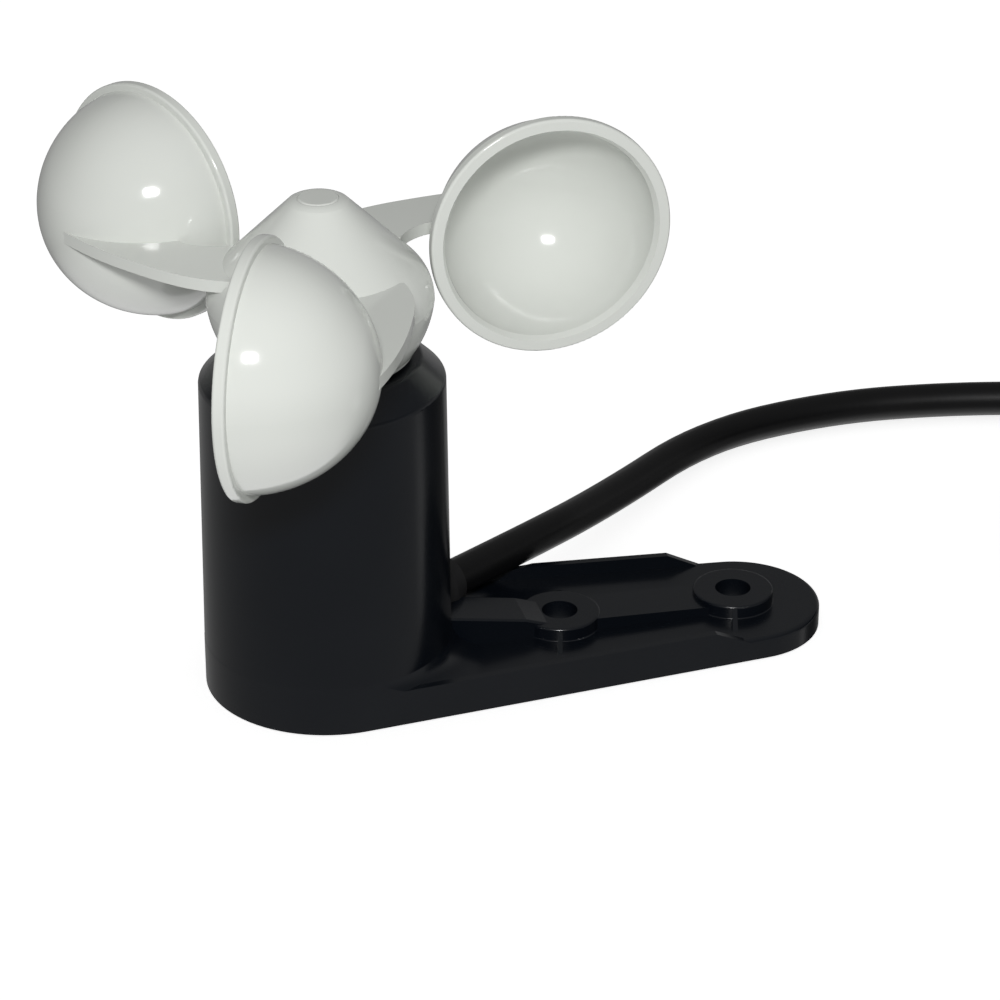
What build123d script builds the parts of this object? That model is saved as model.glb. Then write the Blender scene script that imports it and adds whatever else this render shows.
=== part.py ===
from build123d import *
from math import acos, cos, degrees, pi, radians, sin, sqrt, tan
import os

# Cup anemometer: three hemispherical cups on a bell-shaped hub turn on a short upright housing with a
# two-hole mounting foot. A switch inside the housing is closed by magnets on the shaft, once a turn.
# Millimetres, +Z up. The origin is on the rotor's axis, on the face that the foot stands on.

# ---- driving dimensions ----
# housing: a drafted cylinder with a bevelled deck, and a foot that runs out along +X
BASE_R = 21.0
SHOULDER_R, SHOULDER_Z = 20.4, 56.0
DECK_R, DECK_Z = 16.3, 60.0
NECK_R, NECK_TOP_Z = 9.4, 67.6
CAVITY_R, CAVITY_TOP_Z = 17.6, 55.6
BEARING_TUBE_R, BEARING_TUBE_Z = 9.4, 37.5
FOOT_END_X, FOOT_END_R = 73.0, 14.3
FOOT_FLOOR_Z = 4.0
RIM_TOP_Z, RIM_WALL = 6.4, 1.3
RIM_RAMP_X = (64.5, 71.5)
SKIRT_R = 6.0
BOSS_X = (40.8, 72.1)
BOSS_R, BOSS_TOP_Z, BOSS_FLARE = 7.0, 6.4, 0.2
GUSSET_ANGLES, GUSSET_REACH, GUSSET_W = (-105, 75), 4.2, 0.9
HOLE_R = 3.1
SPINE_HALF_W = 4.2
SPINE_RAMP = ((19.0, 10.0), (33.8, 7.6), (37.5, 6.4))
SPINE_END_Z = 5.3

# bottom cover, its gasket and its screws
COVER_R, COVER_T = 18.8, 2.4
GASKET_T = 0.8
RECESS_R = 19.0
COVER_SCREW_RING_R = 14.0
COVER_SCREW_ANGLES = (60, 180, 300)
POST_R, POST_TOP_Z = 2.9, 14.0

# running gear: a 5 mm shaft in two 5 x 14 x 5 ball bearings
SHAFT_R, SHAFT_Z = 2.5, (27.0, 84.2)
BEARING_R, BEARING_W = 7.0, 5.0
UPPER_BEARING_Z, LOWER_BEARING_Z = 62.0, 39.0
INNER_RACE_R, OUTER_RACE_BORE_R = 3.9, 5.6
BALL_R, BALL_RING_R, BALL_COUNT = 1.0, 4.75, 8
GROOVE_R = 1.03
SHOULDER_BORE_R = 6.0
MAGNET_RING_R = 5.6

# rotor
HUB_TOP_R, HUB_TOP_Z = 4.4, 87.9
HUB_WAIST_R, HUB_WAIST_Z = 18.6, 70.1
HUB_SHOULDER_ARC = 8.7
HUB_RIM_R, HUB_RIM_Z = 14.3, 60.5
HUB_WALL = 2.0
HUB_BOSS_R = 5.2
CUP_RING_R, CUP_Z = 39.45, 76.0
CUP_ANGLES = {"cup_a": 122.5, "cup_b": 2.5, "cup_c": 242.5}
CUP_R, CUP_DEPTH, CUP_WALL = 19.4, 19.3, 1.3
DOME_POWER = 1.14
LIP_R, LIP_MOUTH_R = 20.65, 18.7
LIP_T = (-0.3, 1.7)
SPHERE_T = 0.9
ARM_Z = (74.6, 76.7)

# cable
CABLE_R = 3.25
CABLE_EXIT = (19.9, 6.7, 10.0)
CABLE_HEADING = 31.0
CABLE_INSIDE = 13.0
CABLE_LENGTH = 2000.0
COIL_R = 36.0
COIL_PITCH = 6.6
COIL_CENTRE = (177.2, 0.1)
COIL_ENTRY_ANGLE = 52.0

os.makedirs("parts", exist_ok=True)


# ---- small helpers ----
def rod(radius, z_low, z_high, x=0.0, y=0.0):
    """An upright cylinder."""
    return Pos(x, y, z_low) * Cylinder(radius, z_high - z_low, align=(Align.CENTER, Align.CENTER, Align.MIN))


def ring(r_out, r_in, z_low, z_high):
    """An upright ring about the rotor's axis."""
    return rod(r_out, z_low, z_high) - rod(r_in, z_low - 1, z_high + 1)


def turned(*edges):
    """A closed profile of radius and height, turned about the Z axis."""
    return revolve(Plane.XZ * make_face(Curve() + list(edges)), Axis.Z)


def polar(radius, angle, z=0.0):
    """A point at a radius and an angle in degrees about the rotor's axis."""
    return Vector(radius * cos(radians(angle)), radius * sin(radians(angle)), z)


def side_profile(points, half_width):
    """A closed outline in the XZ plane, thickened both ways along Y."""
    face = make_face(Plane.XZ * Polyline(*points, close=True))
    return extrude(face, half_width, both=True)


def machine_screw(head_r, head_h, shank_r, length):
    """A pan-head screw with a cross recess: head above z=0, shank below."""
    head = rod(head_r, 0, head_h)
    head = fillet(head.edges().group_by(Axis.Z)[-1], head_h * 0.45)
    recess = Box(head_r * 1.1, head_r * 0.25, head_h) + Box(head_r * 0.25, head_r * 1.1, head_h)
    return head + rod(shank_r, -length, 0) - Pos(0, 0, head_h) * recess


def save(node, shape):
    """Write one node's STEP file."""
    shape.label = node
    export_step(shape, f"parts/{node}.step")


def save_group(node, solids):
    """Write like pieces as one node of separate solids."""
    save(node, Compound(children=[s.solid() if not isinstance(s, Solid) else s for s in solids]))


# ---- housing ----
def foot_prism(height, inset=0.0):
    """The foot's outline, the hull of the base circle and the end circle, as a prism."""
    base_r, end_r = BASE_R - inset, FOOT_END_R - inset
    lean = acos((base_r - end_r) / FOOT_END_X)
    corners = [
        (base_r * cos(lean), base_r * sin(lean)),
        (FOOT_END_X + end_r * cos(lean), end_r * sin(lean)),
        (FOOT_END_X + end_r * cos(lean), -end_r * sin(lean)),
        (base_r * cos(lean), -base_r * sin(lean)),
    ]
    outline = Circle(base_r) + Pos(FOOT_END_X, 0) * Circle(end_r) + make_face(Polyline(*corners, close=True))
    return extrude(outline, height)


def gusset(angle):
    """A thin triangular rib that props the boss's wall on the floor."""
    low, top = 1.0, BOSS_TOP_Z - 0.35
    outer = BOSS_R + GUSSET_REACH
    side_view = [(BOSS_R - 1, low), (BOSS_R - 1, top), (BOSS_R, top), (outer, FOOT_FLOOR_Z), (outer, low)]
    return Rot(0, 0, angle) * side_profile(side_view, GUSSET_W / 2)


def screw_boss(x):
    """A screw boss with a rounded top edge, a small fillet at its foot and two gussets."""
    edge = 0.4
    top, floor = BOSS_TOP_Z, FOOT_FLOOR_Z
    boss = turned(
        Line((0, 1), (0, top)),
        Line((0, top), (BOSS_R - edge, top)),
        RadiusArc((BOSS_R - edge, top), (BOSS_R, top - edge), edge),
        Line((BOSS_R, top - edge), (BOSS_R, floor + BOSS_FLARE)),
        RadiusArc((BOSS_R, floor + BOSS_FLARE), (BOSS_R + BOSS_FLARE, floor), -BOSS_FLARE),
        Line((BOSS_R + BOSS_FLARE, floor), (BOSS_R + BOSS_FLARE, 1)),
        Line((BOSS_R + BOSS_FLARE, 1), (0, 1)),
    )
    for angle in GUSSET_ANGLES:
        boss += gusset(angle)
    return Pos(x, 0, 0) * boss


def spine():
    """The raised spine from the housing's wall to the outer boss, ramped where it meets the wall."""
    ramp = [(16.0, 1.0), (16.0, SPINE_RAMP[0][1])] + list(SPINE_RAMP)
    body = side_profile(ramp + [(FOOT_END_X, SPINE_END_Z), (FOOT_END_X, 1.0)], SPINE_HALF_W)
    upper = body.faces().filter_by(Axis.Y, reverse=True).sort_by(Axis.Z)[-3:]
    edges = [e for f in upper for e in f.edges() if abs(abs(e.center().Y) - SPINE_HALF_W) < 0.01]
    return fillet(edges, 0.4)


def housing_outside():
    """The upright cylinder, its bevel, its deck and the neck that the hub's skirt covers."""
    body = turned(
        Line((0, 0), (BASE_R, 0)),
        Line((BASE_R, 0), (BASE_R, RIM_TOP_Z)),
        Line((BASE_R, RIM_TOP_Z), (SHOULDER_R, SHOULDER_Z)),
        Line((SHOULDER_R, SHOULDER_Z), (DECK_R, DECK_Z)),
        Line((DECK_R, DECK_Z), (NECK_R, DECK_Z)),
        Line((NECK_R, DECK_Z), (NECK_R, NECK_TOP_Z)),
        Line((NECK_R, NECK_TOP_Z), (0, NECK_TOP_Z)),
        Line((0, NECK_TOP_Z), (0, 0)),
    )
    corners = body.edges().filter_by(GeomType.CIRCLE).filter_by_position(Axis.Z, SHOULDER_Z - 0.1, DECK_Z + 0.1)
    corners = [edge for edge in corners if edge.radius > NECK_R + 1]
    return fillet(corners, 1.0)


def wall_skirt():
    """The concave sweep from the upright wall down to the foot's floor."""
    reach = SHOULDER_R + SKIRT_R
    top = FOOT_FLOOR_Z + SKIRT_R
    return turned(
        Line((SHOULDER_R - 1, 1), (SHOULDER_R - 1, top)),
        Line((SHOULDER_R - 1, top), (SHOULDER_R + 0.4, top)),
        RadiusArc((SHOULDER_R + 0.4, top), (reach + 0.4, FOOT_FLOOR_Z), -SKIRT_R),
        Line((reach + 0.4, FOOT_FLOOR_Z), (reach + 0.4, 1)),
        Line((reach + 0.4, 1), (SHOULDER_R - 1, 1)),
    )


def foot():
    """The tray-shaped foot: floor, side rims that run out near the end, skirt, spine and bosses."""
    floor = foot_prism(FOOT_FLOOR_Z)
    floor = fillet(floor.edges().group_by(Axis.Z)[-1], 0.8)
    rims = foot_prism(RIM_TOP_Z) - Pos(0, 0, -1) * foot_prism(RIM_TOP_Z + 2, RIM_WALL)
    start, end = RIM_RAMP_X
    keep = side_profile([(-2, 0), (-2, RIM_TOP_Z), (start, RIM_TOP_Z), (end, FOOT_FLOOR_Z - 0.8),
                         (end, 0)], BASE_R + 1)
    skirt = wall_skirt() & foot_prism(FOOT_FLOOR_Z + SKIRT_R + 1)
    whole = floor + (rims & keep) + skirt + spine()
    for x in BOSS_X:
        whole += screw_boss(x)
    for x in BOSS_X:
        whole -= rod(HOLE_R, -1, BOSS_TOP_Z + 1, x)
    return whole


def cable_axis():
    """The line that the cable leaves along: a plane with Z outwards, X to the side and Y up."""
    out = Vector(cos(radians(CABLE_HEADING)), sin(radians(CABLE_HEADING)), 0)
    return Plane(origin=CABLE_EXIT, x_dir=Vector(-out.Y, out.X, 0), z_dir=out)


def along_cable(radius, start, length):
    """A cylinder on the cable's axis, from start, measured outwards from the wall."""
    return cable_axis() * Pos(0, 0, start) * Cylinder(
        radius, length, align=(Align.CENTER, Align.CENTER, Align.MIN))


def housing():
    """One moulding: hollow upright, bearing seats, screw posts, foot and cable hole."""
    shell = housing_outside() + foot()
    shell -= rod(RECESS_R, -1, COVER_T + GASKET_T)
    shell -= rod(CAVITY_R, 0, CAVITY_TOP_Z)
    shell += ring(BEARING_TUBE_R, SHOULDER_BORE_R, BEARING_TUBE_Z, CAVITY_TOP_Z + 1)
    for angle in COVER_SCREW_ANGLES:
        at = polar(COVER_SCREW_RING_R, angle)
        post = rod(POST_R, COVER_T + GASKET_T, POST_TOP_Z, at.X, at.Y)
        web = Pos(at.X, at.Y, COVER_T + GASKET_T) * Rot(0, 0, angle) * Box(
            4.6, 2.0, POST_TOP_Z - COVER_T - GASKET_T, align=(Align.MIN, Align.CENTER, Align.MIN))
        shell += (post + web) & rod(CAVITY_R + 1, 0, POST_TOP_Z)
        shell -= rod(1.25, 0, POST_TOP_Z - 1.5, at.X, at.Y)
    shell -= rod(SHOULDER_BORE_R, BEARING_TUBE_Z - 1, NECK_TOP_Z + 1)
    shell -= rod(BEARING_R, UPPER_BEARING_Z, NECK_TOP_Z + 1)
    shell -= rod(BEARING_R, BEARING_TUBE_Z - 1, LOWER_BEARING_Z + BEARING_W)
    shell -= along_cable(4.75, -CABLE_INSIDE, CABLE_INSIDE + 8) & rod(BASE_R + 1.5, 3, 16)
    shell -= along_cable(CABLE_R + 0.3, 0, 15)
    shell -= along_cable(CABLE_R + 0.65, 14, 16)
    return shell


# ---- bottom cover and what is on it ----
BOARD_Z = 19.0
BOARD_R = 12.6
BOARD_T = 1.6
STANDOFFS = ((-9.0, 6.5), (1.2, -10.9))
SADDLE_ALONG = -9.6


def saddle_screw_places():
    """Where the cable clamp's two screws stand, each side of the cable."""
    return [(cable_axis() * Pos(side * 5.1, 0, SADDLE_ALONG)).position for side in (-1, 1)]


def bottom_cover():
    """The flush round lid, with standoffs for the board and a saddle that the cable lies in."""
    lid = rod(COVER_R, 0, COVER_T)
    lid = chamfer(lid.edges().group_by(Axis.Z)[0], 0.3)
    for x, y in STANDOFFS:
        lid += rod(2.2, COVER_T - 0.5, BOARD_Z, x, y) - rod(1.0, BOARD_Z - 6, BOARD_Z + 1, x, y)
    block = cable_axis() * Pos(0, 0, SADDLE_ALONG) * Box(14.0, 16.4, 4.4)
    block &= rod(CAVITY_R - 0.6, COVER_T - 0.5, CABLE_EXIT[2] - 0.3)
    lid += block
    lid -= along_cable(CABLE_R, -CABLE_INSIDE - 8, CABLE_INSIDE + 6)
    for at in saddle_screw_places():
        lid -= rod(0.9, COVER_T + 0.6, CABLE_EXIT[2] + 1, at.X, at.Y)
    for angle in COVER_SCREW_ANGLES:
        at = polar(COVER_SCREW_RING_R, angle)
        lid -= rod(1.7, -1, COVER_T + 1, at.X, at.Y) + rod(3.1, -1, 1.5, at.X, at.Y)
    return lid


def cover_gasket():
    """The flat rubber ring that the lid squeezes against the housing's step."""
    gasket = ring(COVER_R, CAVITY_R - 0.2, COVER_T, COVER_T + GASKET_T)
    for angle in COVER_SCREW_ANGLES:
        at = polar(COVER_SCREW_RING_R, angle)
        gasket -= rod(POST_R + 0.2, 0, POST_TOP_Z, at.X, at.Y)
    return gasket


def cover_screws():
    """Three screws up through the lid into the posts."""
    screw = Rot(180, 0, 0) * machine_screw(2.9, 1.3, 1.25, 9.0)
    return [Pos(*polar(COVER_SCREW_RING_R, a, 1.5)) * screw for a in COVER_SCREW_ANGLES]


def circuit_board():
    """The board, a disc cut straight on the side where the cable's cores come up past it."""
    board = rod(BOARD_R, BOARD_Z, BOARD_Z + BOARD_T)
    board -= Pos(4.4 + 10, 0, BOARD_Z) * Box(20, 30, 10)
    for x, y in STANDOFFS:
        board -= rod(1.3, BOARD_Z - 1, BOARD_Z + 3, x, y)
    return board


def board_screws():
    """Two screws that hold the board on its standoffs."""
    screw = machine_screw(2.1, 1.1, 1.0, 5.0)
    return [Pos(x, y, BOARD_Z + BOARD_T) * screw for x, y in STANDOFFS]


def reed_switch():
    """The glass switch capsule with its two leads bent down to the board."""
    x_mid, y, top = -1.8, 2.2, BOARD_Z + BOARD_T
    capsule = Pos(x_mid, y, top + 2.0) * Rot(0, 90, 0) * Cylinder(1.2, 7.6)
    capsule = fillet(capsule.edges(), 0.8)
    leads = []
    for side in (-1, 1):
        start = (x_mid + side * 3.4, y, top + 2.0)
        knee = (x_mid + side * 5.4, y, top + 2.0)
        foot_at = (x_mid + side * 5.4, y, top)
        path = FilletPolyline(start, knee, foot_at, radius=0.8)
        leads.append(sweep(Plane(origin=start, z_dir=path % 0) * Circle(0.3), path=path))
    return capsule + leads


TERMINAL_X, TERMINAL_Y = -3.2, (-6.9, -2.3)


def terminal_block():
    """The two-way screw terminal that the cable's cores go into."""
    top = BOARD_Z + BOARD_T
    middle = (TERMINAL_Y[0] + TERMINAL_Y[1]) / 2
    block = Pos(TERMINAL_X, middle, top) * Box(5.4, 9.0, 5.6, align=(Align.CENTER, Align.CENTER, Align.MIN))
    block = chamfer(block.edges().group_by(Axis.Z)[-1].filter_by(Axis.Y), 0.8)
    for y in TERMINAL_Y:
        block -= rod(1.5, top + 2.9, top + 6, TERMINAL_X, y)
        block -= Pos(TERMINAL_X + 2.7, y, top + 2.0) * Box(3.0, 2.2, 2.2)
    return block


def terminal_screws():
    """The slotted clamping screws in the terminal block."""
    screw = rod(1.45, 0, 1.6) - Pos(0, 0, 1.6) * Box(4, 0.45, 0.9)
    return [Pos(TERMINAL_X, y, BOARD_Z + BOARD_T + 2.9) * screw for y in TERMINAL_Y]


def core_wires():
    """The cable's two cores, from the jacket's end up past the board to the terminal block."""
    wires = []
    inward = Vector(-cos(radians(CABLE_HEADING)), -sin(radians(CABLE_HEADING)), 0)
    height = BOARD_Z + BOARD_T + 2.0
    for side, x, y in ((-1, 6.6, TERMINAL_Y[0]), (1, 6.0, TERMINAL_Y[1])):
        start = (cable_axis() * Pos(side * 1.2, 0, -CABLE_INSIDE)).position
        bend = start + inward * 2.5
        end = Vector(TERMINAL_X + 1.3, y, height)
        path = FilletPolyline(start, bend, (x, y, 14.5), (x, y, height), end, radius=1.2)
        wires.append(sweep(Plane(origin=start, z_dir=path % 0) * Circle(0.85), path=path))
    return wires


def cable_clamp():
    """The bar that is screwed down over the cable in its saddle."""
    bar = cable_axis() * Pos(0, 0, SADDLE_ALONG) * Box(14.0, 16.0, 4.2)
    bar &= rod(CAVITY_R - 0.8, CABLE_EXIT[2] + 0.3, CABLE_EXIT[2] + CABLE_R + 1.8)
    bar -= along_cable(CABLE_R, -CABLE_INSIDE - 8, CABLE_INSIDE + 6)
    for at in saddle_screw_places():
        bar -= rod(1.2, 0, 20, at.X, at.Y)
    return bar


def clamp_screws():
    """Two screws through the clamp bar into the saddle."""
    top = CABLE_EXIT[2] + CABLE_R + 1.8
    screw = machine_screw(1.9, 1.0, 0.9, 8.5)
    return [Pos(at.X, at.Y, top) * screw for at in saddle_screw_places()]


def cable_grommet(shell):
    """The rubber bush in the wall, a flange inside and a short taper outside."""
    sleeve = along_cable(4.7, -6.0, 7.0)
    inner_flange = along_cable(6.0, -6.2, 1.6)
    outside = cable_axis() * turned(Polyline((0, -1.0), (5.3, -1.0), (5.3, 1.1), (4.2, 4.2), (0, 4.2), close=True))
    bush = sleeve + inner_flange + outside
    return bush - along_cable(CABLE_R, -20, 40) - shell


# ---- bearings, shaft and magnets ----
def ball_groove(z):
    """The track that the balls run in, as a torus to cut from a race."""
    return Pos(0, 0, z + BEARING_W / 2) * Torus(BALL_RING_R, GROOVE_R)


def outer_race(z):
    race = ring(BEARING_R, OUTER_RACE_BORE_R, z, z + BEARING_W)
    return race - ball_groove(z)


def inner_race(z):
    race = ring(INNER_RACE_R, SHAFT_R, z, z + BEARING_W)
    return race - ball_groove(z)


def balls(z):
    """The ball set of one bearing."""
    return [Pos(*polar(BALL_RING_R, 360 / BALL_COUNT * k, z + BEARING_W / 2)) * Sphere(BALL_R)
            for k in range(BALL_COUNT)]


def bearing_shields():
    """The thin steel rings that close the bearings' outer ends."""
    return [ring(OUTER_RACE_BORE_R, INNER_RACE_R + 0.15, z, z + 0.3)
            for z in (UPPER_BEARING_Z + BEARING_W - 0.5, LOWER_BEARING_Z + 0.2)]


def shaft():
    """The stainless shaft: domed foot, circlip groove and a tapped hole for the hub's screw."""
    low, high = SHAFT_Z
    body = chamfer(rod(SHAFT_R, low, high).edges(), 0.3)
    body -= ring(SHAFT_R + 1, 2.1, LOWER_BEARING_Z - 0.6, LOWER_BEARING_Z)
    return body - rod(1.25, high - 9, high + 1)


def shaft_circlip():
    """The spring clip in the shaft's groove, open on one side."""
    clip = ring(3.7, 2.1, LOWER_BEARING_Z - 0.6, LOWER_BEARING_Z)
    return clip - Pos(3.5, 0, LOWER_BEARING_Z) * Box(4.0, 2.4, 4.0)


def magnet_carrier():
    """The plastic disc on the shaft's lower end that holds the two magnets."""
    disc = ring(8.4, SHAFT_R, 28.0, 32.0) + ring(4.6, SHAFT_R, 31.5, 36.0)
    for side in (-1, 1):
        disc -= rod(2.0, 27.0, 31.0, side * MAGNET_RING_R)
    return disc


def sensor_magnets():
    """Two disc magnets pressed into the carrier from below."""
    return [rod(2.0, 28.0, 31.0, side * MAGNET_RING_R) for side in (-1, 1)]


# ---- hub ----
def hub_profile(inset):
    """The hub's outline, moved inwards by inset, from the top flat down to the rim."""
    arc = HUB_SHOULDER_ARC - inset
    centre_r = HUB_WAIST_R - HUB_SHOULDER_ARC
    knee = (centre_r + arc * cos(pi / 4), HUB_WAIST_Z + arc * sin(pi / 4))
    top_z = HUB_TOP_Z - inset * 1.6
    top_r = knee[0] + knee[1] - top_z
    bulge = (16.8 - inset, 64.0)
    rim = (HUB_RIM_R + 0.9 - inset, HUB_RIM_Z + 0.9)
    mid = (centre_r + arc * cos(pi / 8), HUB_WAIST_Z + arc * sin(pi / 8))
    waist = (HUB_WAIST_R - inset, HUB_WAIST_Z)
    return top_r, top_z, knee, mid, waist, bulge, rim


def hub_body(inset):
    """The solid inside the outline that hub_profile gives."""
    top_r, top_z, knee, mid, waist, bulge, rim = hub_profile(inset)
    foot_r = rim[0] - 0.9 + 0.0 * inset
    edge = 0.8 if inset == 0 else 0.3
    return turned(
        Line((0, HUB_RIM_Z), (0, top_z)),
        Line((0, top_z), (top_r - edge, top_z)),
        ThreePointArc((top_r - edge, top_z), (top_r - edge * 0.25, top_z - edge * 0.22),
                      (top_r + edge * 0.71, top_z - edge * 0.71)),
        Line((top_r + edge * 0.71, top_z - edge * 0.71), knee),
        ThreePointArc(knee, mid, waist),
        ThreePointArc(waist, bulge, rim),
        ThreePointArc(rim, (rim[0] - 0.3, HUB_RIM_Z + 0.25), (foot_r, HUB_RIM_Z)),
        Line((foot_r, HUB_RIM_Z), (0, HUB_RIM_Z)),
    )


def rotor_hub(arms):
    """The bell-shaped hub: thin wall, middle boss on the shaft, and slots for the cups' arms."""
    bell = hub_body(0) - Pos(0, 0, -0.02) * hub_body(HUB_WALL)
    bell += rod(HUB_BOSS_R, 69.0, 85.1)
    bell -= rod(SHAFT_R, 60, SHAFT_Z[1])
    bell -= rod(1.8, 60, HUB_TOP_Z + 1)
    bell -= rod(3.4, 85.1, HUB_TOP_Z + 1)
    for arm in arms:
        bell -= arm
    return bell


def hub_cap():
    """The round plug pressed into the hub's top, over the screw."""
    cap = rod(3.4, 86.7, HUB_TOP_Z + 0.15)
    return fillet(cap.edges().group_by(Axis.Z)[-1], 0.35)


def hub_screw():
    """The screw through the hub's top into the shaft."""
    return Pos(0, 0, 85.4) * machine_screw(2.3, 1.1, 1.25, 9.5)


def hub_washer():
    """The plain washer under the screw's head."""
    return ring(3.2, 1.4, 85.1, 85.4)


# ---- cups ----
def dome_place():
    """Where the dome's base stands, in the cup's own frame."""
    return Pos(CUP_RING_R, SPHERE_T, CUP_Z) * Rot(-90, 0, 0)


def dome(inset):
    """The solid dome, moved inwards by inset: a little more pointed than a ball."""
    radius, depth = CUP_R - inset, CUP_DEPTH - inset
    turns = [radians(10 * step) for step in range(10)]
    curve = [(radius * cos(turn), depth * sin(turn) ** DOME_POWER) for turn in turns]
    return turned(Line((0, 0), (radius, 0)), Spline(*curve), Line((0, depth), (0, 0)))


def arm_outline():
    """The arm seen from above, in the cup's own frame: X outwards from the axis, Y to the dome's side."""
    return make_face(
        Curve()
        + [
            Line((9.0, 4.5), (5.0, 15.4)),
            Spline((5.0, 15.4), (12.2, 18.9), (20.0, 20.3), (28.5, 20.9), (35.0, 20.7), (39.4, 20.2)),
            Line((39.4, 20.2), (39.4, 12.0)),
            Line((39.4, 12.0), (24.0, 9.9)),
            Spline((24.0, 9.9), (20.3, 9.6), (17.4, 8.0), (15.2, 5.6)),
            Line((15.2, 5.6), (9.0, 4.5)),
        ]
    )


def arm():
    """The flat arm that leaves the hub's side and runs out along the back of the dome."""
    low, high = ARM_Z
    plate = Pos(0, 0, low) * extrude(arm_outline(), high - low)
    return plate - dome_place() * dome(0.5) - hub_body(HUB_WALL)


def cup_shell():
    """The cup with its stepped lip, open towards -Y."""
    axis_place = Pos(CUP_RING_R, 0, CUP_Z) * Rot(-90, 0, 0)
    lip_low, lip_high = LIP_T
    lip = rod(LIP_R, lip_low, lip_high)
    lip = fillet(lip.edges(), 0.45)
    inside = Pos(0, 0, SPHERE_T) * dome(CUP_WALL) + rod(CUP_R - CUP_WALL, lip_low - 1, SPHERE_T)
    inside += Pos(0, 0, lip_low - 0.5) * Cone(LIP_MOUTH_R + 0.3, CUP_R - CUP_WALL, 1.6,
                                              align=(Align.CENTER, Align.CENTER, Align.MIN))
    return axis_place * (Pos(0, 0, SPHERE_T) * dome(0) + lip + rod(CUP_R, lip_low, SPHERE_T) - inside)


def cup():
    """One moulding in the cup's own frame: cup and arm."""
    return cup_shell() + arm()


# ---- cable and its put-away coil ----
def cable_route():
    """The points that the cable's line turns at, from inside the housing to the coil's edge."""
    out = Vector(cos(radians(CABLE_HEADING)), sin(radians(CABLE_HEADING)), 0)
    start = Vector(*CABLE_EXIT) - out * CABLE_INSIDE
    entry = Vector(*COIL_CENTRE, CABLE_R) + polar(COIL_R + COIL_PITCH, COIL_ENTRY_ANGLE)
    return [
        start,
        start + out * 35.05,
        Vector(64.3, 42.3, 5.2),
        Vector(87.0, 63.0, CABLE_R),
        Vector(113.5, 69.0, CABLE_R),
        Vector(138.5, 66.5, CABLE_R),
        Vector(161.0, 60.0, CABLE_R),
        Vector(184.5, 48.5, CABLE_R),
        entry,
    ]


def corner_radii(points):
    """Each corner's arc: 0.45 of its shorter run, divided by the tangent of half the turn."""
    radii = []
    for before, here, after in zip(points, points[1:], points[2:]):
        turn = radians((here - before).get_angle(after - here))
        radii.append(0.45 * min((here - before).length, (after - here).length) / tan(turn / 2))
    return radii


def sensor_cable():
    """The cable from the clamp to the coil, as straight runs joined by tangent arcs."""
    points = cable_route()
    radii = corner_radii(points)
    path = FilletPolyline(*points, radius=radii)
    tube = sweep(Plane(origin=points[0], z_dir=path % 0) * Circle(CABLE_R), path=path)
    print("cable radii", [round(r, 1) for r in radii])
    print("cable runs", [round((b - a).length, 1) for a, b in zip(points, points[1:])])
    print("cable tube length", round(path.length, 1), "volume", round(tube.volume),
          "section x length", round(pi * CABLE_R**2 * path.length))
    return tube, path.length


def layer_turns(tube_length):
    """How much of a turn the cable's last turn makes, once the full turns are wound."""
    full = 2 * (3 * COIL_R) + (COIL_R + COIL_PITCH)
    left = CABLE_LENGTH - tube_length - 2 * pi * full
    return left / (2 * pi * COIL_R)


def cable_coil(last_turn):
    """The outer shape of the coil: two full layers, then the outer turn and part of a second one."""
    half = COIL_PITCH * 1.5
    layer = 2 * CABLE_R + 0.1
    base = ring(COIL_R + half, COIL_R - half, 0, 2 * layer)
    outer_turn = ring(COIL_R + half, COIL_R + half - COIL_PITCH, 2 * layer - 1, 3 * layer)
    middle_turn = ring(COIL_R + half - COIL_PITCH + 1, COIL_R + half - 2 * COIL_PITCH, 2 * layer - 1, 3 * layer)
    gap_start = COIL_ENTRY_ANGLE
    gap_end = COIL_ENTRY_ANGLE + 360 * (1 - last_turn)
    middle = (gap_start + gap_end) / 2
    reach = 3 * COIL_R
    gap = make_face(Polyline((0, 0), tuple(polar(reach, gap_start))[:2], tuple(polar(reach, middle))[:2],
                             tuple(polar(reach, gap_end))[:2], close=True))
    gap = Pos(0, 0, 2 * layer) * extrude(gap, 2 * layer)
    gap &= rod(COIL_R + COIL_PITCH / 2, 0, 6 * layer)
    coil = base + outer_turn + (middle_turn - gap)
    return Pos(*COIL_CENTRE, 0) * coil, gap_end, layer


def coil_tie():
    """The strap round the coil's bundle, chamfered where the bundle steps down to two layers."""
    half = COIL_PITCH * 1.5
    layer = 2 * CABLE_R + 0.1
    bundle = [(-half, 0.8), (half, 0.8), (half, 3 * layer), (-half + COIL_PITCH, 3 * layer), (-half, 2 * layer)]
    out = 1.1
    strap = [(-half - out, 0), (half + out, 0), (half + out, 3 * layer + out),
             (-half + COIL_PITCH - out / 2, 3 * layer + out), (-half - out, 2 * layer + out / 2)]
    outer = side_profile(strap, 4.5)
    outer = fillet(outer.edges().filter_by(Axis.Y), 1.0)
    place = Pos(*COIL_CENTRE, 0) * Rot(0, 0, COIL_ENTRY_ANGLE + 200) * Pos(COIL_R, 0, 0)
    return place * (outer - side_profile(bundle, 10))


def core_arc(offset, start_angle, sweep_mm, radius, z):
    """A short round piece that lies along the coil's curve."""
    r = COIL_R + offset
    turn = degrees(sweep_mm / r)
    path = Pos(*COIL_CENTRE, z) * CenterArc((0, 0), r, start_angle, -turn)
    return sweep(Plane(origin=path @ 0, z_dir=path % 0) * Circle(radius), path=path), start_angle - turn


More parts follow.
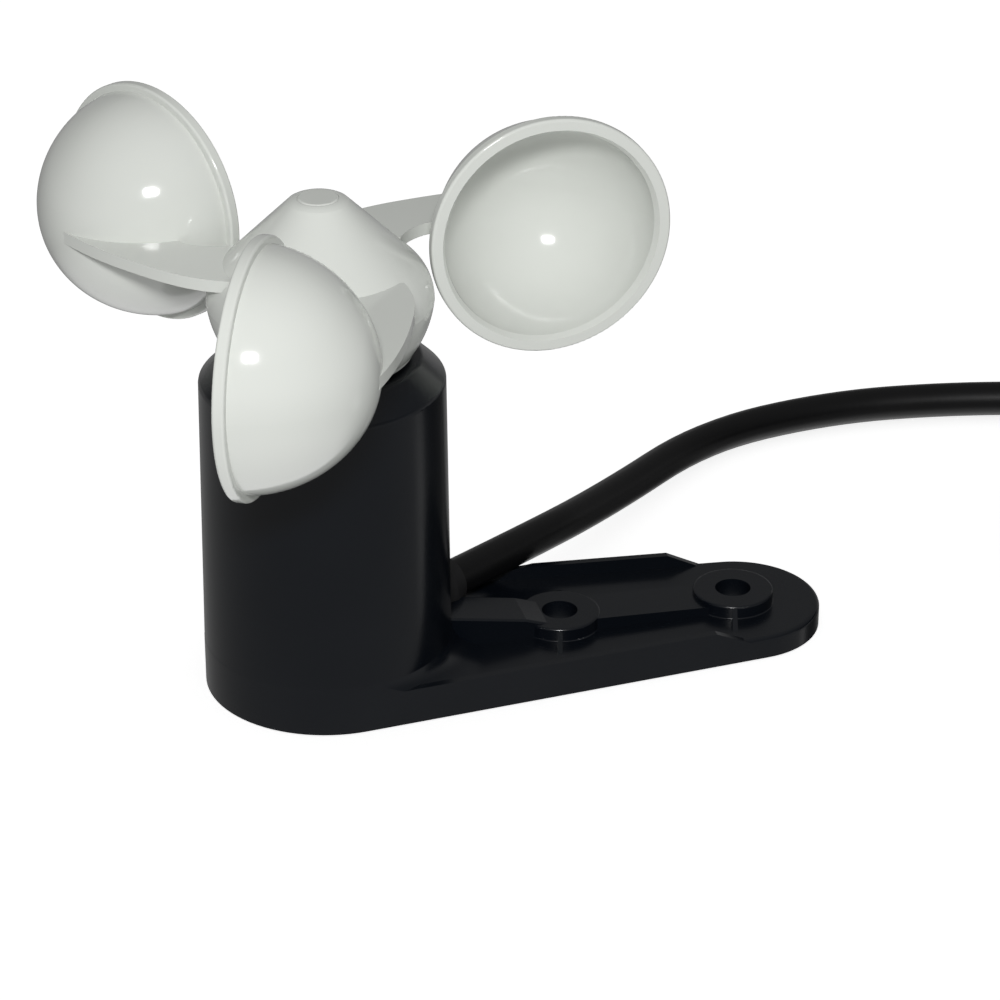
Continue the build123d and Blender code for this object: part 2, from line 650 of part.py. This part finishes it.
def cable_end(gap_end, layer):
    """The stripped cores past the jacket's end and the ferrules crimped on them."""
    cores, ferrules = [], []
    for offset in (-1.3, 1.3):
        z = 2 * layer + 1.25
        core, end = core_arc(offset, gap_end, 26.0, 0.95, z)
        cores.append(core)
        ferrule, _ = core_arc(offset, end, 9.0, 1.2, z)
        ferrules.append(ferrule)
    return cores, ferrules


# ---- write every node ----
shell = housing()
save("housing", shell)
save("bottom_cover", bottom_cover())
save("cover_gasket", cover_gasket())
save_group("cover_screws", cover_screws())
save("cable_grommet", cable_grommet(shell))
save("cable_clamp", cable_clamp())
save_group("clamp_screws", clamp_screws())
save("circuit_board", circuit_board())
save_group("board_screws", board_screws())
save("reed_switch", reed_switch())
save("terminal_block", terminal_block())
save_group("terminal_screws", terminal_screws())
save_group("core_wires", core_wires())

for name, z in (("upper", UPPER_BEARING_Z), ("lower", LOWER_BEARING_Z)):
    save(f"{name}_bearing_outer_race", outer_race(z))
    save(f"{name}_bearing_inner_race", inner_race(z))
    save_group(f"{name}_bearing_balls", balls(z))
save_group("bearing_shields", bearing_shields())
save("bearing_retainer", ring(BEARING_R, 5.7, BEARING_TUBE_Z, LOWER_BEARING_Z))

save("shaft", shaft())
save("shaft_spacer", ring(3.6, SHAFT_R, LOWER_BEARING_Z + BEARING_W, UPPER_BEARING_Z))
save("shaft_collar", ring(3.6, SHAFT_R, UPPER_BEARING_Z + BEARING_W, 69.0))
save("shaft_circlip", shaft_circlip())
save("magnet_carrier", magnet_carrier())
save_group("sensor_magnets", sensor_magnets())

arm_cutters = [Rot(0, 0, angle) * arm() for angle in CUP_ANGLES.values()]
save("rotor_hub", rotor_hub(arm_cutters))
save("hub_cap", hub_cap())
save("hub_screw", hub_screw())
save("hub_washer", hub_washer())
one_cup = cup()
for name, angle in CUP_ANGLES.items():
    save(name, Rot(0, 0, angle) * one_cup)

cable, cable_tube_length = sensor_cable()
last_turn = layer_turns(cable_tube_length)
print("last turn", round(last_turn, 3))
coil, gap_end, layer = cable_coil(last_turn)
tie = coil_tie()
cores, ferrules = cable_end(gap_end, layer)
save("cable_coil", coil - tie)
save("coil_tie", tie)
save("sensor_cable", cable - coil)
save_group("cable_cores", cores)
save_group("core_ferrules", ferrules)
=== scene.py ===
from math import cos, pi, radians, sin, sqrt

import bpy
from mathutils import Matrix, Vector


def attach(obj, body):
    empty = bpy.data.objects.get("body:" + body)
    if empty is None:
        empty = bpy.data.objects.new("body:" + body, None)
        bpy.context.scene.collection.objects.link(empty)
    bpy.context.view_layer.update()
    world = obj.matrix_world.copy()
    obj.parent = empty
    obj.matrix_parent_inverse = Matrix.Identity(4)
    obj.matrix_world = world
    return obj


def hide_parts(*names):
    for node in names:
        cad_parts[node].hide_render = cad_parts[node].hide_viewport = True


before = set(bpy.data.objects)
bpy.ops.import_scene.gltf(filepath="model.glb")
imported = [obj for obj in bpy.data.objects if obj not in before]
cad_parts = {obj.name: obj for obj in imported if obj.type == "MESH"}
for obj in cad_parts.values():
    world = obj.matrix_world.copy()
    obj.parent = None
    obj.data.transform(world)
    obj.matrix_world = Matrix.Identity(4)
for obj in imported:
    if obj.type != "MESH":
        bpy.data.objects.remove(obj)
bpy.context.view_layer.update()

# ---- the camera ----
# A long lens, held above the cups, looks down on the sensor from the front and a little from the left.
# sight is where it looks, side is its right-hand side, and head is its upper side.
sight = Vector((0.2231551, 0.8570524, -0.4643954))
side = Vector((0.9677340, -0.2519739, 0.0))
head = side.cross(sight)
view = bpy.data.cameras.new("view")
view.sensor_width = 36.0
view.lens = 138.865
view.clip_start = 0.01
camera = bpy.data.objects.new("camera", view)
camera.matrix_world = Matrix.Translation((-0.115461, -0.559282, 0.332206)) @ Matrix(
    (side, head, -sight)).transposed().to_4x4()
bpy.context.collection.objects.link(camera)
bpy.context.scene.camera = camera

# ---- the signal cable ----
# A round black two-core cable, 6.5 mm thick and 2 m long, leaves the wall low down, falls to the
# floor in a long loose curve, and is wound up as a round coil in three layers.
# The route's first points are those of the drawing. The coil's turns are a little over a jacket apart.
CABLE_R = 0.00325
PITCH = 0.0066
COIL_R = 0.036
COIL_CENTRE = Vector((0.1772, 0.0001, CABLE_R))
ENTRY = radians(52)
LAST_TURN = 0.659
TURN_POINTS = 24
SHIFT = 1 / 9
SWELL = 0.0028
cable_line = [
    (0.00876, 0.0, 0.010),
    (0.0389, 0.0181, 0.010),
    (0.0608, 0.0391, 0.0056),
    (0.0863, 0.0632, 0.00325),
    (0.1134, 0.0690, 0.00325),
    (0.1384, 0.0667, 0.00325),
    (0.1638, 0.0600, 0.00325),
    (0.1872, 0.0515, 0.00325),
]
# each turn lies in a column and a layer, and moves over from the one before it in its first ninth;
# a turn that climbs swells outwards or inwards, to clear the turn that it climbs over
turns = [(2, 0), (1, 0), (0, 0), (-1, 0), (-1, 1), (0, 1), (1, 1), (1, 2), (0, 2)]
for point in range(int((len(turns) - 2 + LAST_TURN) * TURN_POINTS) + 1):
    turn, along = divmod(point / TURN_POINTS, 1)
    (from_column, from_layer), (column, layer) = turns[int(turn)], turns[int(turn) + 1]
    share = min(along / SHIFT, 1)
    eased = share * share * (3 - 2 * share)
    way_out = 1 if column > 0 else -1
    swell = SWELL * sqrt(max(sin(pi * share), 0)) * (layer - from_layer) * way_out
    radius = COIL_R + PITCH * (from_column + (column - from_column) * eased) + swell
    radius /= cos(pi / TURN_POINTS)
    angle = ENTRY - 2 * pi * point / TURN_POINTS
    height = PITCH * (from_layer + (layer - from_layer) * eased)
    cable_line.append(COIL_CENTRE + Vector((radius * cos(angle), radius * sin(angle), height)))
line = bpy.data.curves.new("signal_cable", "CURVE")
line.dimensions = "3D"
line.bevel_depth = CABLE_R
line.bevel_resolution = 6
line.resolution_u = 8
line.use_fill_caps = True
spline = line.splines.new("NURBS")
spline.points.add(len(cable_line) - 1)
for knot, place in zip(spline.points, cable_line):
    knot.co = (*place, 1)
spline.order_u = 3
spline.use_endpoint_u = True
signal_cable = bpy.data.objects.new("signal_cable", line)
bpy.context.collection.objects.link(signal_cable)


class Flow:
    """A value inside a finish. Sums and products of it add the Math nodes that work them out."""

    def __init__(self, finish, socket):
        self.finish, self.socket = finish, socket

    def __add__(self, other):
        return self.finish.math("ADD", self, other)

    def __mul__(self, other):
        return self.finish.math("MULTIPLY", self, other)

    __radd__, __rmul__ = __add__, __mul__


class Finish:
    """A material, or the sky's shading. node() adds a node, and set() fills the shader's sockets."""

    def __init__(self, name, owner=None):
        self.material = owner or bpy.data.materials.new(name)
        self.material.use_nodes = True
        self.tree = self.material.node_tree

    def node(self, kind, settings, sockets):
        added = self.tree.nodes.new(kind)
        for name, value in settings.items():
            if name == "stops":
                while len(added.color_ramp.elements) < len(value):
                    added.color_ramp.elements.new(0.5)
                for element, (place, shade) in zip(added.color_ramp.elements, value):
                    element.position = place
                    element.color = (shade, shade, shade, 1)
            else:
                setattr(added, name, value)
        self.fill(added, sockets)
        return [Flow(self, socket) for socket in added.outputs]

    def fill(self, added, sockets):
        for name, value in sockets.items():
            socket = added.inputs[name]
            if isinstance(value, Flow):
                self.tree.links.new(value.socket, socket)
            else:
                socket.default_value = value

    def set(self, **sockets):
        named = {name.replace("_", " "): value for name, value in sockets.items()}
        self.fill(self.tree.nodes["Principled BSDF"], named)

    def place(self):
        return self.node("ShaderNodeTexCoord", {}, {})[3]

    def noise(self, scale, detail=2.0, vector=None):
        return self.node("ShaderNodeTexNoise", {}, {
            "Vector": vector or self.place(), "Scale": scale, "Detail": detail, "Roughness": 0.5})[0]

    def bump(self, height, distance, strength):
        return self.node("ShaderNodeBump", {}, {
            "Height": height, "Distance": distance, "Strength": strength})[0]

    def math(self, kind, a, b=0.0):
        return self.node("ShaderNodeMath", {"operation": kind}, {0: a, 1: b})[0]

    def mix(self, share, first, second):
        return self.node("ShaderNodeMix", {"data_type": "RGBA"}, {0: share, 6: first, 7: second})[2]


jacket = Finish("cable_jacket")
smear = jacket.noise(60.0)
jacket.set(
    Specular_IOR_Level=0.25,
    Base_Color=jacket.mix(smear, (0.0012, 0.0012, 0.0014, 1), (0.0030, 0.0030, 0.0033, 1)),
    Roughness=0.30 + smear * 0.16,
    Normal=jacket.bump(jacket.noise(900.0, 3.0), 0.00003, 0.5))
line.materials.append(jacket.material)
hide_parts("sensor_cable", "cable_coil")
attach(signal_cable, "base")

# ---- the strap round the coil ----
# A woven black hook-and-loop strap, 10 mm wide, closed on itself round all the turns.
# The weave is two crossed waves, far finer than the strap is wide, with lint in the loops.
def wear(finish, *names):
    """Puts one finish on whole pieces that come straight from the drawing."""
    for name in names:
        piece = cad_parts[name]
        piece.data.materials.clear()
        piece.data.materials.append(finish.material)


strap = Finish("tie_strap")
warp, weft, _ = strap.node("ShaderNodeSeparateXYZ", {}, {0: strap.place()})
rows = strap.math("SINE", warp * 9000.0) * strap.math("SINE", weft * 9000.0)
lint = strap.noise(700.0, 3.0)
strap.set(
    Base_Color=strap.mix(lint, (0.008, 0.008, 0.009, 1), (0.028, 0.028, 0.030, 1)),
    Roughness=0.85 + lint * 0.1,
    Normal=strap.bump(rows + lint, 0.0001, 0.6))
wear(strap, "coil_tie")

# ---- the cable's bare end ----
# Two stranded cores in thin PVC sleeves stick out of the cut jacket, and each has a crimped
# tinned copper ferrule. The sleeves are dull, and the ferrules carry the crimping tool's marks.
sleeve = Finish("core_sleeve")
rub = sleeve.noise(500.0)
# the core on the inside of the coil is the black one: CORE_SPLIT is midway between the two
CORE_SPLIT = 0.0377
reach = sleeve.node("ShaderNodeVectorMath", {"operation": "DISTANCE"}, {
    0: sleeve.place(), 1: COIL_CENTRE})[1]
red = sleeve.mix(rub, (0.36, 0.035, 0.03, 1), (0.46, 0.055, 0.045, 1))
black = sleeve.mix(rub, (0.008, 0.008, 0.008, 1), (0.016, 0.016, 0.016, 1))
sleeve.set(
    Base_Color=sleeve.mix(sleeve.math("GREATER_THAN", reach, CORE_SPLIT), black, red),
    Roughness=0.45 + rub * 0.15)
wear(sleeve, "cable_cores", "core_wires")

tin = Finish("ferrule_tin")
marks = tin.noise(1500.0, 4.0)
tin.set(
    Metallic=1.0,
    Base_Color=tin.mix(marks, (0.58, 0.57, 0.54, 1), (0.72, 0.71, 0.68, 1)),
    Roughness=0.22 + marks * 0.2,
    Normal=tin.bump(marks, 0.00004, 0.5))
wear(tin, "core_ferrules")

# ---- the cable's bush ----
# A moulded nitrile bush, squeezed into the wall's hole, holds the cable and keeps the rain out.
# It is matt, a little dusty, and has the fine pits of its mould.
bush = Finish("grommet_rubber")
dust = bush.noise(220.0, 3.0)
bush.set(
    Specular_IOR_Level=0.25,
    Base_Color=bush.mix(dust, (0.0040, 0.0040, 0.0045, 1), (0.0080, 0.0080, 0.0085, 1)),
    Roughness=0.55 + dust * 0.25,
    Normal=bush.bump(bush.noise(2600.0), 0.00003, 0.4))
wear(bush, "cable_grommet")

# ---- the housing ----
# One injection moulding in near-black ABS: the upright that holds the bearings, and the foot.
# The tool was lightly sparked, so the skin is satin, with slow patches where the melt ran.
satin = Finish("housing_satin")
patches = satin.noise(45.0, 3.0)
satin.set(
    Specular_IOR_Level=0.4,
    Base_Color=satin.mix(patches, (0.0017, 0.0028, 0.0047, 1), (0.0027, 0.0038, 0.0061, 1)),
    Roughness=0.17 + patches * 0.10,
    Normal=satin.bump(satin.noise(1400.0), 0.00003, 0.30))
wear(satin, "housing")

# ---- the cover under the housing ----
# A flat lid of the same ABS, straight off a polished plate, closes the housing from below.
# It presses on a cut rubber sheet, and three zinc-plated screws hold it.
lid = Finish("cover_plastic")
flow_marks = lid.noise(80.0, 2.0)
lid.set(
    Base_Color=lid.mix(flow_marks, (0.0040, 0.0044, 0.0052, 1), (0.0065, 0.0070, 0.0080, 1)),
    Roughness=0.26 + flow_marks * 0.14,
    Normal=lid.bump(lid.noise(1100.0), 0.00003, 0.3))
wear(lid, "bottom_cover", "cable_clamp")

sheet = Finish("gasket_rubber")
talc = sheet.noise(160.0, 4.0)
sheet.set(
    Base_Color=sheet.mix(talc, (0.018, 0.018, 0.018, 1), (0.050, 0.050, 0.048, 1)),
    Roughness=0.75 + talc * 0.2)
wear(sheet, "cover_gasket")

zinc = Finish("screw_zinc")
bloom = zinc.noise(420.0, 3.0)
zinc.set(
    Metallic=1.0,
    Base_Color=zinc.mix(bloom, (0.46, 0.47, 0.50, 1), (0.62, 0.62, 0.63, 1)),
    Roughness=0.26 + bloom * 0.18,
    Normal=zinc.bump(bloom, 0.00003, 0.3))
wear(zinc, "cover_screws", "clamp_screws", "board_screws", "hub_screw")

# ---- the circuit board ----
# A 1 mm glass-epoxy board under green solder mask, screwed on two standoffs of the lid.
# The weave of the glass shows through the mask as a faint fine grid.
mask = Finish("board_mask")
across, along_board, _ = mask.node("ShaderNodeSeparateXYZ", {}, {0: mask.place()})
weave = mask.math("SINE", across * 7000.0) * mask.math("SINE", along_board * 7000.0)
mask.set(
    Base_Color=mask.mix(0.5 + weave * 0.5, (0.010, 0.075, 0.030, 1), (0.014, 0.100, 0.042, 1)),
    Roughness=0.30 + mask.noise(200.0) * 0.12)
wear(mask, "circuit_board")

# ---- the reed switch ----
# A thin tube of green-tinted glass, drawn shut on two flat leads that are bent down to the board.
# The tube is clean in the middle and slightly wavy where it was melted.
capsule = Finish("switch_glass")
melt = capsule.noise(900.0)
capsule.set(
    Base_Color=capsule.mix(melt, (0.55, 0.78, 0.62, 1), (0.66, 0.86, 0.72, 1)),
    Roughness=0.05 + melt * 0.06,
    Transmission_Weight=0.7)
wear(capsule, "reed_switch")

# ---- the terminal block ----
# A green nylon two-way block, soldered on the board; a slotted brass screw closes each of its ways.
# Nylon takes a dull shine, and the screws are nickel plated and scratched in the slots.
nylon = Finish("terminal_nylon")
sink = nylon.noise(300.0)
nylon.set(
    Base_Color=nylon.mix(sink, (0.025, 0.17, 0.075, 1), (0.035, 0.22, 0.10, 1)),
    Roughness=0.36 + sink * 0.14)
wear(nylon, "terminal_block")

plated = Finish("plated_brass")
scratch = plated.noise(1200.0, 4.0)
plated.set(
    Metallic=1.0,
    Base_Color=plated.mix(scratch, (0.60, 0.56, 0.48, 1), (0.70, 0.66, 0.58, 1)),
    Roughness=0.20 + scratch * 0.22)
wear(plated, "terminal_screws")

# ---- the bearings ----
# Two small ball bearings in polished chrome steel sit in the tube, 8 balls in each, under shields.
# Grinding leaves fine rings round the races, and a thin film of oil varies their shine.
race = Finish("bearing_steel")
film = race.noise(260.0, 2.0)
rings = race.node("ShaderNodeTexWave", {"wave_type": "RINGS", "rings_direction": "Z"}, {
    "Vector": race.place(), "Scale": 900.0, "Distortion": 0.4})[1]
race.set(
    Metallic=1.0,
    Base_Color=race.mix(film, (0.54, 0.54, 0.55, 1), (0.66, 0.66, 0.67, 1)),
    Roughness=0.10 + film * 0.12,
    Normal=race.bump(rings, 0.00001, 0.3))
wear(race, "upper_bearing_outer_race", "upper_bearing_inner_race", "lower_bearing_outer_race",
     "lower_bearing_inner_race", "bearing_shields", "bearing_retainer")

ball = Finish("ball_steel")
haze = ball.noise(600.0)
ball.set(
    Metallic=1.0,
    Base_Color=ball.mix(haze, (0.62, 0.62, 0.63, 1), (0.70, 0.70, 0.71, 1)),
    Roughness=0.05 + haze * 0.05)
wear(ball, "upper_bearing_balls", "lower_bearing_balls")

# ---- the shaft ----
# A ground 5 mm stainless shaft with a spacer, a collar and a spring clip, all turned or stamped.
# The grinding runs round the shaft, so its lines are stretched along the circumference.
stainless = Finish("shaft_steel")
lines = stainless.noise(1.0, 3.0, vector=stainless.node(
    "ShaderNodeMapping", {}, {"Vector": stainless.place(), "Scale": (60.0, 60.0, 4200.0)})[0])
stainless.set(
    Metallic=1.0,
    Base_Color=stainless.mix(lines, (0.50, 0.50, 0.51, 1), (0.62, 0.62, 0.63, 1)),
    Roughness=0.20 + lines * 0.18,
    Normal=stainless.bump(lines, 0.00001, 0.4))
wear(stainless, "shaft", "shaft_spacer", "shaft_collar", "shaft_circlip", "hub_washer")

# ---- the magnet carrier ----
# A white acetal disc pressed on the shaft's foot, with two nickel-plated disc magnets pushed in
# from below. They pass the reed switch once each in a turn.
acetal = Finish("carrier_acetal")
wax = acetal.noise(120.0)
acetal.set(
    Base_Color=acetal.mix(wax, (0.70, 0.70, 0.67, 1), (0.80, 0.80, 0.77, 1)),
    Roughness=0.34 + wax * 0.12)
wear(acetal, "magnet_carrier")

nickel = Finish("magnet_nickel")
ripple = nickel.noise(800.0, 3.0)
nickel.set(
    Metallic=1.0,
    Base_Color=nickel.mix(ripple, (0.58, 0.55, 0.50, 1), (0.68, 0.65, 0.60, 1)),
    Roughness=0.12 + ripple * 0.10)
wear(nickel, "sensor_magnets")

# ---- the hub and the cups ----
# Light grey glossy ABS: the bell-shaped hub over the neck, and three cups, each moulded in one with
# its flat arm. A pushed-in plug of the same plastic hides the hub's screw.
gloss = Finish("rotor_gloss")
cloud = gloss.noise(30.0, 3.0)
gloss.set(
    Base_Color=gloss.mix(cloud, (0.590, 0.608, 0.573, 1), (0.630, 0.648, 0.617, 1)),
    Roughness=0.085 + cloud * 0.05,
    Normal=gloss.bump(gloss.noise(160.0), 0.00004, 0.2))
wear(gloss, "rotor_hub", "cup_a", "cup_b", "cup_c")

plug = Finish("cap_gloss")
swirl = plug.noise(260.0)
plug.set(
    Base_Color=plug.mix(swirl, (0.585, 0.603, 0.568, 1), (0.625, 0.643, 0.612, 1)),
    Roughness=0.11 + swirl * 0.06)
wear(plug, "hub_cap")

# ---- the floor and the light ----
# A plain white sheet that glows a little, under a soft sky that is dark behind on the right.
# A small lamp just over the camera lights the sensor, but not the sheet.
bpy.ops.mesh.primitive_plane_add(size=80.0, location=(0, 0, -0.0002))
floor = bpy.context.object
floor.name = "floor"
paper = Finish("floor_paper")
paper.set(
    Base_Color=(0.90, 0.90, 0.90, 1), Roughness=1.0,
    Emission_Color=(1, 1, 1, 1), Emission_Strength=0.84)
floor.data.materials.append(paper.material)
floor.visible_diffuse = False
floor.visible_glossy = False

sky = bpy.data.worlds.new("sky")
air = Finish("air", sky)
way = air.node("ShaderNodeTexCoord", {}, {})[0]
climb = air.node("ShaderNodeSeparateXYZ", {}, {0: way})[2]
# the sky's brightness from straight below, which stands for the lit table, to straight above
levels = [(0.0, 1.50), (0.12, 1.05), (0.23, 0.27), (0.36, 0.30), (0.5, 0.40), (0.70, 0.15), (1.0, 0.32)]
shade = air.node("ShaderNodeValToRGB", {"stops": levels}, {0: climb * 0.5 + 0.5})[0]


def patch(toward, spread):
    """How near a direction is to a given one: one at it, and nought at spread from it."""
    cosine = air.node("ShaderNodeVectorMath", {"operation": "DOT_PRODUCT"}, {0: way, 1: toward})[1]
    return air.node("ShaderNodeMapRange", {"interpolation_type": "SMOOTHSTEP"}, {
        0: cosine, 1: cos(spread), 2: 1.0, 3: 0.0, 4: 1.0})[0]


# what the upright's right side mirrors: a dark patch, and in it a narrow bright one
dimmed = air.mix(patch((0.799, 0.381, -0.464), radians(30)), shade, (0.04, 0.04, 0.04, 1))
lifted = air.mix(patch((0.885, -0.020, -0.464), radians(7)), dimmed, (0.7, 0.7, 0.7, 1))
air.fill(sky.node_tree.nodes["Background"], {0: lifted, 1: 1.0})
bpy.context.scene.world = sky

light = bpy.data.lights.new("key_lamp", "AREA")
light.shape = "RECTANGLE"
light.size = 0.13
light.size_y = 0.06
light.energy = 4.0
key = bpy.data.objects.new("key_lamp", light)
key.location = (-0.112, -0.545, 0.440)
key.rotation_euler = (Vector((0, 0, 0.06)) - key.location).to_track_quat("-Z", "Y").to_euler()
bpy.context.collection.objects.link(key)
unlit = bpy.data.collections.new("unlit_by_key")
bpy.context.scene.collection.children.link(unlit)
unlit.objects.link(floor)
key.light_linking.receiver_collection = unlit
for entry in unlit.collection_objects:
    entry.light_linking.link_state = "EXCLUDE"
bpy.context.scene.view_settings.view_transform = "Standard"
